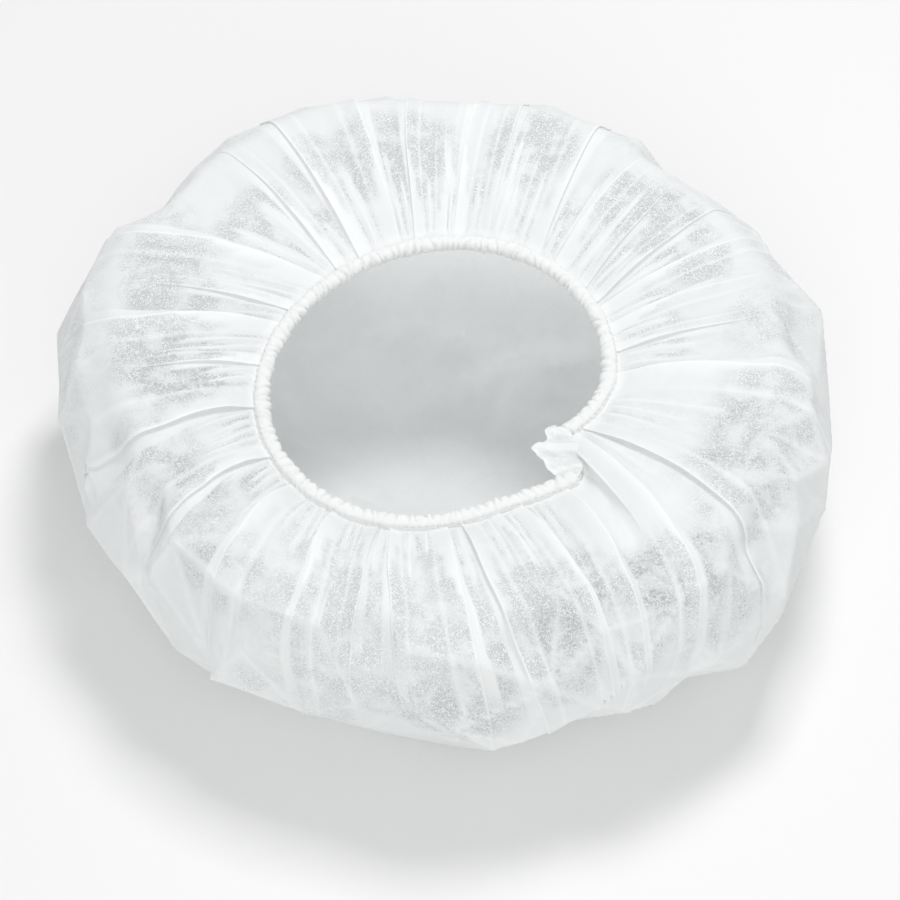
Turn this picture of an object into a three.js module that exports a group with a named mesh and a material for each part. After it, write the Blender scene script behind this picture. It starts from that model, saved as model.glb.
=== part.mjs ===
import * as THREE from 'three';

// Gathered hair cover of thin nonwoven cloth, lying on its crown with the elastic opening up.
// Millimetres. +X is to the right, +Y to the back and +Z up. Bearings are degrees from +X.

// Size of the whole cap as it lies
const OUTER_RADIUS = 142;
const CAP_HEIGHT = 95;
const BACK_RISE_SHARE = 0.1;
const CLOTH_WALL = 1.2;
const FIT_GAP = 0.3;

// The elastic opening: oval, off the middle, and lower at the front
const OPENING_RADIUS = 60;
const OPENING_OVAL_SHARE = 0.06;
const OVAL_BEARING = 37;
const OPENING_X = -2.6;
const OPENING_Y = -6.5;
const OPENING_RISE_SHARE = 0.84;
const OPENING_TILT = 7;

// The hem is a cloth tube round a rubber cord, slit on its outer side for the crown's edge
const ELASTIC_RADIUS = 1.2;
const HEM_BORE = ELASTIC_RADIUS * 1.5;
const HEM_RUFFLE_SHARE = 0.18;
const HEM_BUMP_PITCH = 5.56;
const HEM_FACETS = 6;

// The two ends of the hem miss each other: one runs inside the ring and one outside
const JOIN_START = -30;
const JOIN_END = 320.6;
const JOIN_INSET = 8.6;
const JOIN_FLARE = 7;
const JOIN_EASE_ANGLE = 30;

// How far the mouth's edge arches up on its way to the shoulder
const ARCH_SHARE = 0.04;

// Levels from the hem to the middle of the crown. Way is 0 at the hem, 1 at the shoulder and 4 at
// the middle. From the shoulder on, reach is a share of the bulge and rise a share of the height.
const LEVELS = [
  { way: 0.09 },
  { way: 0.26 },
  { way: 0.5 },
  { way: 0.76 },
  { way: 1.0, reach: 0.82, rise: 0.965 },
  { way: 1.3, reach: 0.925, rise: 0.865 },
  { way: 1.6, reach: 0.98, rise: 0.715 },
  { way: 2.0, reach: 1.0, rise: 0.505 },
  { way: 2.4, reach: 0.945, rise: 0.28 },
  { way: 2.8, reach: 0.83, rise: 0.115 },
  { way: 3.1, reach: 0.69, rise: 0.03 },
  { way: 3.4, reach: 0.54, rise: 0.0 },
];

// Reach of the bulge by bearing, as a share of the outer radius
const BULGES = [
  { bearing: 0, reach: 1.008 },
  { bearing: 22.5, reach: 0.999 },
  { bearing: 45, reach: 0.957 },
  { bearing: 67.5, reach: 0.985 },
  { bearing: 90, reach: 0.958 },
  { bearing: 112.5, reach: 1.018 },
  { bearing: 135, reach: 1.023 },
  { bearing: 157.5, reach: 1.053 },
  { bearing: 180, reach: 0.994 },
  { bearing: 202.5, reach: 0.944 },
  { bearing: 225, reach: 0.947 },
  { bearing: 247.5, reach: 0.928 },
  { bearing: 270, reach: 0.961 },
  { bearing: 292.5, reach: 0.974 },
  { bearing: 315, reach: 1.032 },
  { bearing: 337.5, reach: 1.024 },
];

// Pleats by bearing at the hem and at the shoulder. Spread is the width in degrees at each of them,
// end the way where the pleat dies out, rise a share of the height, lean the side it falls to.
const PLEATS = [
  { hem: 12, shoulder: 5, hemSpread: 4, spread: 4.5, end: 0.75, rise: 0.05, lean: -1 },
  { hem: 18.5, shoulder: 14, hemSpread: 4, spread: 5, end: 0.85, rise: 0.05, lean: 1 },
  { hem: 25.5, shoulder: 22, hemSpread: 4, spread: 5, end: 1.3, rise: 0.065, lean: 1 },
  { hem: 31.5, shoulder: 32, hemSpread: 4, spread: 5, end: 1.1, rise: 0.06, lean: -1 },
  { hem: 38, shoulder: 40.5, hemSpread: 4, spread: 5, end: 0.8, rise: 0.055, lean: -1 },
  { hem: 47, shoulder: 49, hemSpread: 5, spread: 6, end: 1.0, rise: 0.075, lean: 1 },
  { hem: 58, shoulder: 62, hemSpread: 6, spread: 7, end: 1.4, rise: 0.075, lean: -1 },
  { hem: 66.5, shoulder: 70, hemSpread: 4, spread: 4.5, end: 0.8, rise: 0.05, lean: 1 },
  { hem: 75, shoulder: 76.5, hemSpread: 4, spread: 4.5, end: 1.3, rise: 0.06, lean: -1 },
  { hem: 82, shoulder: 83.5, hemSpread: 4, spread: 5, end: 1.4, rise: 0.07, lean: 1 },
  { hem: 88.5, shoulder: 90, hemSpread: 4, spread: 4, end: 0.8, rise: 0.05, lean: -1 },
  { hem: 95, shoulder: 97, hemSpread: 4, spread: 4.5, end: 1.3, rise: 0.06, lean: 1 },
  { hem: 105, shoulder: 108, hemSpread: 6, spread: 6, end: 1.4, rise: 0.075, lean: -1 },
  { hem: 115, shoulder: 120, hemSpread: 6, spread: 6, end: 1.3, rise: 0.075, lean: 1 },
  { hem: 125, shoulder: 130.5, hemSpread: 5, spread: 5, end: 1.0, rise: 0.055, lean: 1 },
  { hem: 137, shoulder: 157, hemSpread: 7, spread: 8, end: 1.3, rise: 0.085, lean: -1 },
  { hem: 149, shoulder: 167, hemSpread: 5, spread: 4.5, end: 0.7, rise: 0.05, lean: 1 },
  { hem: 161, shoulder: 178, hemSpread: 7, spread: 8, end: 1.4, rise: 0.085, lean: -1 },
  { hem: 173, shoulder: 187, hemSpread: 5, spread: 4.5, end: 0.8, rise: 0.05, lean: 1 },
  { hem: 187, shoulder: 199, hemSpread: 9, spread: 11, end: 1.7, rise: 0.09, lean: 1 },
  { hem: 207, shoulder: 216, hemSpread: 6, spread: 7, end: 1.7, rise: 0.07, lean: 1 },
  { hem: 225, shoulder: 232, hemSpread: 7, spread: 7, end: 2.1, rise: 0.08, lean: -1 },
  { hem: 240, shoulder: 246.5, hemSpread: 6, spread: 5, end: 2.4, rise: 0.085, lean: -1 },
  { hem: 250, shoulder: 254, hemSpread: 4, spread: 4, end: 1.6, rise: 0.06, lean: 1 },
  { hem: 257.5, shoulder: 261.5, hemSpread: 4, spread: 4.5, end: 1.5, rise: 0.05, lean: -1 },
  { hem: 270.5, shoulder: 271.5, hemSpread: 6, spread: 6, end: 2.0, rise: 0.075, lean: 1 },
  { hem: 281, shoulder: 281, hemSpread: 6, spread: 6, end: 2.3, rise: 0.08, lean: -1 },
  { hem: 289.5, shoulder: 288, hemSpread: 4, spread: 3.5, end: 0.8, rise: 0.05, lean: 1 },
  { hem: 297.5, shoulder: 293.5, hemSpread: 5, spread: 4.5, end: 2.0, rise: 0.075, lean: 1 },
  { hem: 312, shoulder: 300.5, hemSpread: 7, spread: 5.5, end: 2.3, rise: 0.08, lean: 1 },
  { hem: 334, shoulder: 312, hemSpread: 4.5, spread: 6, end: 2.1, rise: 0.085, lean: 1 },
  { hem: 341.5, shoulder: 327, hemSpread: 5.5, spread: 7.5, end: 1.9, rise: 0.075, lean: -1 },
  { hem: 358, shoulder: 351, hemSpread: 8, spread: 8.5, end: 1.8, rise: 0.085, lean: 1 },
];

// Dents that the pleats' outer ends pull into the bulge. Width is in degrees, depth a share of
// the outer radius.
const DENTS = [
  { bearing: 357, way: 1.8, width: 8, depth: 0.035 },
  { bearing: 41, way: 1.7, width: 8, depth: 0.03 },
  { bearing: 71, way: 1.8, width: 7, depth: 0.025 },
  { bearing: 146, way: 1.5, width: 9, depth: 0.04 },
  { bearing: 190, way: 2.0, width: 9, depth: 0.035 },
  { bearing: 221, way: 2.0, width: 9, depth: 0.03 },
  { bearing: 257, way: 2.2, width: 8, depth: 0.025 },
  { bearing: 306, way: 2.1, width: 8, depth: 0.03 },
  { bearing: 336, way: 1.9, width: 8, depth: 0.035 },
];

// Outline of the loose corner of cloth at the join. Along runs from one hem end to the other and
// inward to the middle of the opening, both as shares of the gap between the ends.
const TAB_OUTLINE = [
  { along: 0.16, inward: -0.06 },
  { along: 0.82, inward: -0.06 },
  { along: 0.86, inward: 0.16 },
  { along: 0.72, inward: 0.36 },
  { along: 0.5, inward: 0.56 },
  { along: 0.34, inward: 0.34 },
  { along: 0.16, inward: 0.14 },
];
const TAB_WALL = 1.0;
const TAB_CURL_SHARE = 0.12;

const DEG = Math.PI / 180;
const HEM_RADIUS = HEM_BORE + CLOTH_WALL;
const HEM_CREST = HEM_RADIUS * (1 + HEM_RUFFLE_SHARE);
const SLIT_HALF = CLOTH_WALL / 2 + FIT_GAP;
const UP = new THREE.Vector3(0, -Math.sin(OPENING_TILT * DEG), Math.cos(OPENING_TILT * DEG));

function blend(from, to, share) {
  return from + (to - from) * share;
}

function ease(low, high, value) {
  const share = Math.min(Math.max((value - low) / (high - low), 0), 1);
  return share * share * (3 - 2 * share);
}

// Difference of two bearings, from -180 to 180 degrees
function turn(bearing, from) {
  return ((((bearing - from) % 360) + 540) % 360) - 180;
}

function bulgeReach(bearing) {
  const step = 360 / BULGES.length;
  const place = (((bearing % 360) + 360) % 360) / step;
  const low = Math.floor(place) % BULGES.length;
  const next = (low + 1) % BULGES.length;
  const share = ease(0, 1, place - Math.floor(place));
  return OUTER_RADIUS * blend(BULGES[low].reach, BULGES[next].reach, share);
}

// Radius of the hem's middle line at a bearing, out to the two ends that miss each other
function hemRadius(bearing) {
  const around = ((((bearing - JOIN_START) % 360) + 360) % 360) + JOIN_START;
  const longer = (angle) => OPENING_OVAL_SHARE * Math.cos(2 * (angle - OVAL_BEARING) * DEG);
  const oval = (angle) => OPENING_RADIUS * (1 + longer(angle));
  const inner = (angle) => Math.max(1 - (angle - JOIN_START) / JOIN_EASE_ANGLE, 0);
  const outer = (angle) => Math.max(1 - (JOIN_END - angle) / JOIN_EASE_ANGLE, 0);
  if (around <= JOIN_END) {
    return oval(around) - JOIN_INSET * inner(around) ** 1.3 + JOIN_FLARE * outer(around) ** 1.5;
  }
  const share = (around - JOIN_END) / (JOIN_START + 360 - JOIN_END);
  return blend(oval(JOIN_END) + JOIN_FLARE, oval(JOIN_START) - JOIN_INSET, share);
}

function hemPoint(bearing) {
  const radius = hemRadius(bearing);
  const back = radius * Math.sin(bearing * DEG);
  const height = CAP_HEIGHT * OPENING_RISE_SHARE + back * Math.tan(OPENING_TILT * DEG);
  return new THREE.Vector3(OPENING_X + radius * Math.cos(bearing * DEG), OPENING_Y + back, height);
}

// Direction away from the opening, square to the hem and in the plane of the opening
function hemOutward(bearing) {
  const along = hemPoint(bearing + 0.5).sub(hemPoint(bearing - 0.5));
  return along.cross(UP).normalize();
}

// Share of its full rise that a pleat has at one way out from the hem
function pleatShare(pleat, way) {
  return ease(0, 0.3, way) * (1 - ease(0.3 * pleat.end, pleat.end, way));
}

// The sheet's lines from hem to crown: each pleat has two feet, a crest and a ripple beside it
function sheetLines() {
  const lines = [];
  PLEATS.forEach((pleat, index) => {
    const next = PLEATS[(index + 1) % PLEATS.length];
    const wrap = index + 1 === PLEATS.length ? 360 : 0;
    const place = (share) => ({
      hem: pleat.hem + share * pleat.hemSpread,
      shoulder: pleat.shoulder + share * pleat.spread,
    });
    lines.push({ ...place(-0.5), pleat, crest: 0 });
    lines.push({ ...place(0.28 * pleat.lean), pleat, crest: 1 });
    lines.push({ ...place(0.5), pleat, crest: 0 });
    const hemFrom = pleat.hem + 0.5 * pleat.hemSpread;
    const hemTo = next.hem + wrap - 0.5 * next.hemSpread;
    const from = pleat.shoulder + 0.5 * pleat.spread;
    const to = next.shoulder + wrap - 0.5 * next.spread;
    const overJoin = turn(JOIN_END, hemFrom) > 0 && turn(hemTo, JOIN_START) > 0;
    const shares = overJoin ? joinShares(hemFrom, hemTo) : [0.5];
    shares.forEach((share) => {
      const [hem, shoulder] = [blend(hemFrom, hemTo, share), blend(from, to, share)];
      lines.push({ hem, shoulder, ripple: !overJoin });
    });
  });
  return lines;
}

// Lines across the join stand exactly at the two hem ends, and just inside each of them
function joinShares(hemFrom, hemTo) {
  const share = (bearing) => (bearing - hemFrom) / (hemTo - hemFrom);
  const start = JOIN_START + 360;
  const bearings = [JOIN_END - 1, JOIN_END, (JOIN_END + start) / 2, start, start + 1];
  return bearings.map(share);
}

function dentDepth(bearing, way) {
  return DENTS.reduce((depth, dent) => {
    const across = turn(bearing, dent.bearing) / dent.width;
    const along = (way - dent.way) / 0.5;
    return depth + dent.depth * Math.exp(-across * across - along * along);
  }, 0);
}

// Point on the middle of the cloth at one line and level, with the pleats' rise left out
function basePoint(line, level) {
  const bearing = blend(line.hem, line.shoulder, ease(-0.2, 1, level.way));
  const outer = LEVELS.find((row) => row.reach !== undefined);
  const shape = level.reach === undefined ? outer : level;
  const angle = (level.reach === undefined ? line.shoulder : bearing) * DEG;
  const radius = bulgeReach(angle / DEG) * (shape.reach - dentDepth(angle / DEG, level.way));
  const height = CAP_HEIGHT * shape.rise * (1 + BACK_RISE_SHARE * shape.rise * Math.sin(angle));
  const point = new THREE.Vector3(radius * Math.cos(angle), radius * Math.sin(angle), height);
  if (level.reach !== undefined) {
    return point;
  }
  const hem = hemPoint(line.hem).addScaledVector(hemOutward(line.hem), HEM_CREST + FIT_GAP);
  const mixed = hem.lerp(point, level.way);
  mixed.z += CAP_HEIGHT * ARCH_SHARE * Math.sin(Math.PI * level.way);
  return mixed;
}

// Middle of the cloth as a grid: the edge in the hem, the hem's lip, then every level
function sheetGrid(lines) {
  const beside = (away) => lines.map((line) => {
    return hemPoint(line.hem).addScaledVector(hemOutward(line.hem), away);
  });
  const edge = beside(ELASTIC_RADIUS + FIT_GAP);
  const lip = beside(HEM_CREST + FIT_GAP);
  const levels = LEVELS.map((level) => lines.map((line) => basePoint(line, level)));
  return [edge, lip, ...levels];
}

// Direction out of the cap at each point of a grid, from its neighbours
function gridNormals(grid) {
  const count = grid[0].length;
  return grid.map((row, i) => row.map((point, j) => {
    if (i < 2) {
      return UP.clone();
    }
    if (i === grid.length - 1) {
      return new THREE.Vector3(0, 0, -1);
    }
    const across = row[(j + 1) % count].clone().sub(row[(j + count - 1) % count]);
    const down = grid[i + 1][j].clone().sub(grid[i - 1][j]);
    return down.cross(across).normalize();
  }));
}

function raisePleats(grid, lines) {
  const normals = gridNormals(grid);
  return grid.map((row, i) => row.map((point, j) => {
    const level = i < 2 ? null : LEVELS[i - 2];
    const line = lines[j];
    let rise = 0;
    if (level && line.crest) {
      rise = CAP_HEIGHT * line.pleat.rise * pleatShare(line.pleat, level.way);
    }
    if (level && line.ripple) {
      rise = CAP_HEIGHT * 0.03 * ease(0, 0.15, level.way) * (1 - ease(0.2, 0.6, level.way));
    }
    return point.clone().addScaledVector(normals[i][j], rise);
  }));
}

function toMesh(name, points, faces, color, roughness) {
  const geometry = new THREE.BufferGeometry();
  const places = points.flatMap((point) => [point.x, point.y, point.z]);
  geometry.setAttribute('position', new THREE.Float32BufferAttribute(places, 3));
  geometry.setIndex(faces.flat());
  geometry.computeVertexNormals();
  const material = new THREE.MeshStandardMaterial({ color, roughness, metalness: 0 });
  const mesh = new THREE.Mesh(geometry, material);
  mesh.name = name;
  return mesh;
}

// The crown: one sheet of cloth from the hem's slit round the bulge to the patch it rests on
function makeCrown() {
  const lines = sheetLines();
  const grid = raisePleats(sheetGrid(lines), lines);
  const normals = gridNormals(grid);
  const count = lines.length;
  const rows = grid.length;
  const side = rows * count + 1;
  const points = [];
  [0.5, -0.5].forEach((half) => {
    grid.forEach((row, i) => row.forEach((point, j) => {
      points.push(point.clone().addScaledVector(normals[i][j], half * CLOTH_WALL));
    }));
    points.push(new THREE.Vector3(0, 0, -half * CLOTH_WALL));
  });
  const faces = [];
  for (let j = 0; j < count; j += 1) {
    const k = (j + 1) % count;
    for (let i = 0; i + 1 < rows; i += 1) {
      const [a, b, c, d] = [i * count + j, (i + 1) * count + j, (i + 1) * count + k, i * count + k];
      faces.push([a, b, c], [a, c, d], [side + a, side + c, side + b], [side + a, side + d, side + c]);
    }
    const last = (rows - 1) * count;
    faces.push([last + j, side - 1, last + k], [side + last + j, side + last + k, 2 * side - 1]);
    faces.push([j, k, side + k], [j, side + k, side + j]);
  }
  return toMesh('crown', points, faces, 0xf4f6f7, 0.85);
}

// Points of a section square to the hem. Turn 0 is outward and turn 90 is up.
function sectionPoints(bearing, radius, turns) {
  const centre = hemPoint(bearing);
  const outward = hemOutward(bearing);
  return turns.map((angle) => {
    const point = centre.clone().addScaledVector(outward, radius * Math.cos(angle * DEG));
    return point.addScaledVector(UP, radius * Math.sin(angle * DEG));
  });
}

function slitTurns(radius) {
  const half = Math.asin(SLIT_HALF / radius) / DEG;
  return Array.from({ length: HEM_FACETS }, (_, m) => blend(half, 360 - half, m / (HEM_FACETS - 1)));
}

// The hem: a ruffled tube of cloth, open at the join and slit all along its outer side
function makeHem() {
  const length = OPENING_RADIUS * (JOIN_END - JOIN_START) * DEG;
  const sections = 2 * Math.round(length / HEM_BUMP_PITCH);
  const points = [];
  const faces = [];
  const size = 2 * HEM_FACETS;
  for (let k = 0; k <= sections; k += 1) {
    const bearing = blend(JOIN_START, JOIN_END, k / sections);
    const swell = k % 2 === 1 ? 0.7 + 0.3 * Math.sin(k * 1.7) : 0;
    const radius = HEM_RADIUS * (1 + HEM_RUFFLE_SHARE * swell);
    points.push(...sectionPoints(bearing, radius, slitTurns(radius)));
    points.push(...sectionPoints(bearing, HEM_BORE, slitTurns(HEM_BORE)).reverse());
    for (let m = 0; k < sections && m < size; m += 1) {
      const [a, b] = [k * size + m, k * size + ((m + 1) % size)];
      faces.push([a, b + size, b], [a, a + size, b + size]);
    }
  }
  for (let m = 0; m + 1 < HEM_FACETS; m += 1) {
    const [a, b, c, d] = [m, m + 1, size - 2 - m, size - 1 - m];
    const last = sections * size;
    faces.push([a, b, c], [a, c, d], [last + a, last + c, last + b], [last + a, last + d, last + c]);
  }
  return toMesh('hem_casing', points, faces, 0xffffff, 0.8);
}

// The rubber cord, in one closed ring through the hem and bare where the hem's ends part
function makeElastic() {
  const sections = 72;
  const sides = 6;
  const gap = (JOIN_START + 360 - JOIN_END) / 360;
  const points = [];
  const faces = [];
  const turns = Array.from({ length: sides }, (_, m) => (360 * m) / sides);
  const bare = Math.max(4, Math.round(sections * gap));
  for (let k = 0; k < sections; k += 1) {
    const inHem = sections - bare;
    const bearing = k <= inHem
      ? blend(JOIN_START, JOIN_END, k / inHem)
      : blend(JOIN_END, JOIN_START + 360, (k - inHem) / bare);
    points.push(...sectionPoints(bearing, ELASTIC_RADIUS, turns));
    for (let m = 0; m < sides; m += 1) {
      const a = k * sides + m;
      const b = k * sides + ((m + 1) % sides);
      const next = ((k + 1) % sections) * sides;
      faces.push([a, next + (b % sides), b], [a, next + (a % sides), next + (b % sides)]);
    }
  }
  return toMesh('elastic_ring', points, faces, 0xe9e6dc, 0.6);
}

// The loose corner of cloth that covers the bare elastic between the hem's ends
function makeTab() {
  const start = hemPoint(JOIN_END);
  const along = hemPoint(JOIN_START).sub(start);
  const length = along.length();
  const inward = along.clone().cross(UP).negate().normalize();
  const corners = TAB_OUTLINE.map((corner, index) => {
    const point = start.clone().addScaledVector(along, corner.along);
    point.addScaledVector(inward, length * corner.inward);
    return point.addScaledVector(UP, length * TAB_CURL_SHARE * (index % 2) * Math.max(corner.inward, 0));
  });
  const middle = new THREE.Vector3();
  corners.forEach((corner) => middle.addScaledVector(corner, 1 / corners.length));
  const low = ELASTIC_RADIUS + FIT_GAP;
  const count = corners.length;
  const points = [];
  [low + TAB_WALL, low].forEach((height) => {
    [...corners, middle].forEach((point) => points.push(point.clone().addScaledVector(UP, height)));
  });
  const faces = [];
  for (let j = 0; j < count; j += 1) {
    const k = (j + 1) % count;
    const side = count + 1;
    faces.push([j, k, count], [side + k, side + j, side + count]);
    faces.push([j, side + j, side + k], [j, side + k, k]);
  }
  return toMesh('seam_tab', points, faces, 0xf7f8f8, 0.85);
}

// Moves the cap so that it rests on z = 0 with the middle of its outline over the origin
function centred(group) {
  const box = new THREE.Box3().setFromObject(group);
  const middle = box.getCenter(new THREE.Vector3());
  group.children.forEach((mesh) => mesh.geometry.translate(-middle.x, -middle.y, -box.min.z));
  return group;
}

const cap = new THREE.Group();
cap.add(makeCrown(), makeHem(), makeElastic(), makeTab());

export default centred(cap);
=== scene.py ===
import math

import bpy
import numpy as np
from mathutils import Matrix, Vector
from mathutils.geometry import delaunay_2d_cdt


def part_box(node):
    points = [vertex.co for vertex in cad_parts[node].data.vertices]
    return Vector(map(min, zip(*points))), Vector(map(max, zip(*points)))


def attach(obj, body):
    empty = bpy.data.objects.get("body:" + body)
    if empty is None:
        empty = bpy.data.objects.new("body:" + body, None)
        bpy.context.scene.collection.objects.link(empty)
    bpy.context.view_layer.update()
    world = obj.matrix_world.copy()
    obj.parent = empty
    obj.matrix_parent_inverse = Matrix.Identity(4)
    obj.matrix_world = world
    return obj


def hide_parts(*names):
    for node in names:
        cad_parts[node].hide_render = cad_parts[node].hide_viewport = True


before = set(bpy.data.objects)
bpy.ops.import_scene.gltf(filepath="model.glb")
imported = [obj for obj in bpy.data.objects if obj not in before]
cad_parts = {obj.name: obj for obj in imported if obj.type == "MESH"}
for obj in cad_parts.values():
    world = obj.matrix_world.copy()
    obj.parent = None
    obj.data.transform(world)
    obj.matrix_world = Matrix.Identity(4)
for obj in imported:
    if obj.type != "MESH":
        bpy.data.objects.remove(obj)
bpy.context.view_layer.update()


# ---- Camera ----
# A long portrait lens about a metre away looks down at 50 degrees, so that it sees into the
# opening and along the front of the cap at once.
LENS_MM = 111.0
DISTANCE_M = 1.0
ELEVATION = 50.0
AIM = Vector((0.0031, -0.0108, 0.0456))

view = bpy.data.cameras.new("photo_view")
view.lens = LENS_MM
view.sensor_width = 36.0
view.clip_end = 50.0
camera = bpy.data.objects.new("photo_view", view)
raised = math.radians(ELEVATION)
away = Vector((0.0, -math.cos(raised), math.sin(raised)))
camera.location = AIM + away * DISTANCE_M
camera.rotation_euler = away.to_track_quat("Z", "Y").to_euler()
bpy.context.scene.collection.objects.link(camera)
bpy.context.scene.camera = camera


# ---- Table and light ----
# The cap lies on a plain white table in a white room. A small soft box stands behind it on the
# right and throws the shadow, and a wide one fills in from the front.
TABLE_WHITE = "#ECECEB"
TABLE_MOTTLE = "#EAEAE9"
ROOM_WHITE = "#FDFEFF"
ROOM_LIGHT = 0.57
BACK_BOX_WATTS = 6.1
FILL_BOX_WATTS = 5.2
CAP_MIDDLE = (0, 0, 0.04)


def linear(hex_colour):
    """An sRGB hex value as the linear colour that shaders take."""
    parts = [int(hex_colour[i:i + 2], 16) / 255 for i in (1, 3, 5)]
    return [p / 12.92 if p <= 0.04045 else ((p + 0.055) / 1.055) ** 2.4 for p in parts] + [1.0]


def add_node(tree, kind, settings, links):
    """Adds a shader node, sets its properties and sockets, and joins its inputs."""
    node = tree.nodes.new(kind)
    for name, value in settings.items():
        if isinstance(name, int) or name in node.inputs:
            node.inputs[name].default_value = value
        else:
            setattr(node, name, value)
    for name, source in links.items():
        tree.links.new(source, node.inputs[name])
    return node


def blank_material(name):
    material = bpy.data.materials.new(name)
    material.use_nodes = True
    material.node_tree.nodes.clear()
    return material, material.node_tree


def mesh_object(name, points_mm, faces, material):
    """A smooth mesh object in metres from points in millimetres."""
    mesh = bpy.data.meshes.new(name)
    mesh.from_pydata((np.asarray(points_mm) * 0.001).tolist(), [], faces)
    mesh.polygons.foreach_set("use_smooth", [True] * len(mesh.polygons))
    mesh.materials.append(material)
    mesh.update()
    piece = bpy.data.objects.new(name, mesh)
    bpy.context.scene.collection.objects.link(piece)
    return piece


# Melamine-faced board, wiped smooth: nearly matt, with a faint mottle
table_paint, tree = blank_material("melamine_board")
mottle = add_node(tree, "ShaderNodeTexNoise", {"Scale": 9.0, "Detail": 3.0}, {})
tone = add_node(tree, "ShaderNodeMix",
                {"data_type": "RGBA", 6: linear(TABLE_WHITE), 7: linear(TABLE_MOTTLE)}, {0: mottle.outputs["Fac"]})
board = add_node(tree, "ShaderNodeBsdfPrincipled", {"Roughness": 0.75, "Specular IOR Level": 0.2},
                 {"Base Color": tone.outputs[2]})
add_node(tree, "ShaderNodeOutputMaterial", {}, {"Surface": board.outputs[0]})
HALF_TABLE_MM = 6000.0
corners = [(x * HALF_TABLE_MM, y * HALF_TABLE_MM, 0) for x, y in ((-1, -1), (1, -1), (1, 1), (-1, 1))]
table = mesh_object("table", corners, [(0, 1, 2, 3)], table_paint)

room = bpy.data.worlds.new("white_room")
room.use_nodes = True
room.node_tree.nodes["Background"].inputs["Color"].default_value = linear(ROOM_WHITE)
room.node_tree.nodes["Background"].inputs["Strength"].default_value = ROOM_LIGHT
bpy.context.scene.world = room
bpy.context.scene.view_settings.view_transform = "Standard"


def soft_box(name, place, aim, size, watts):
    """A square studio light that faces the point it is aimed at."""
    lamp = bpy.data.lights.new(name, "AREA")
    lamp.size = size
    lamp.energy = watts
    light = bpy.data.objects.new(name, lamp)
    light.location = place
    light.rotation_euler = (Vector(place) - Vector(aim)).to_track_quat("Z", "Y").to_euler()
    bpy.context.scene.collection.objects.link(light)


soft_box("back_soft_box", (0.17, 0.35, 1.1), CAP_MIDDLE, size=0.34, watts=BACK_BOX_WATTS)
soft_box("fill_soft_box", (0.0, -1.0, 0.85), CAP_MIDDLE, size=0.9, watts=FILL_BOX_WATTS)


# ---- Crown ----
# One disc of white spunbond polypropylene, about 530 mm across and 0.15 mm thick. Its edge is
# gathered into the hem, so it falls in some thirty flat pleats that open out over the bulge.
# Sizes are in millimetres, and bearings in degrees from the cap's right round to its back.
OUTER_RADIUS = 142.0
CAP_HEIGHT = 95.0
BACK_RISE = 0.1
OPENING_RADIUS = 60.0
OPENING_OVAL = 0.06
OVAL_BEARING = 37.0
OPENING_X = -2.6
OPENING_Y = -6.5
OPENING_RISE = 0.84
OPENING_TILT = 7.0
JOIN_START = -30.0
JOIN_END = 320.6
JOIN_INSET = 8.6
JOIN_FLARE = 7.0
JOIN_EASE_ANGLE = 30.0
HEM_LIP = 3.4
ARCH = 0.04

# How far out the bulge stands every 22.5 degrees, in outer radii
BULGES = [1.008, 0.999, 0.957, 0.985, 0.958, 1.018, 1.023, 1.053,
          0.994, 0.944, 0.947, 0.928, 0.961, 0.974, 1.032, 1.024]

# The cut through the cap: reach is a share of the bulge, rise a share of the height. Way tells
# how far along the cloth a point is: 0 at the hem, 1 at the shoulder, 2 where the bulge is
# widest, and 4 in the middle of the patch that it rests on.
PROFILE = np.array(
    [(0.4, 0.585, 0.925), (0.7, 0.71, 0.965), (1.0, 0.82, 0.97), (1.3, 0.92, 0.875), (1.6, 0.98, 0.715),
     (2.0, 1.0, 0.505), (2.4, 0.945, 0.28), (2.8, 0.83, 0.115), (3.1, 0.69, 0.03), (3.4, 0.54, 0.0),
     (3.7, 0.27, 0.0), (4.0, 0.0, 0.0)],
    dtype=[("way", float), ("reach", float), ("rise", float)])

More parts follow.
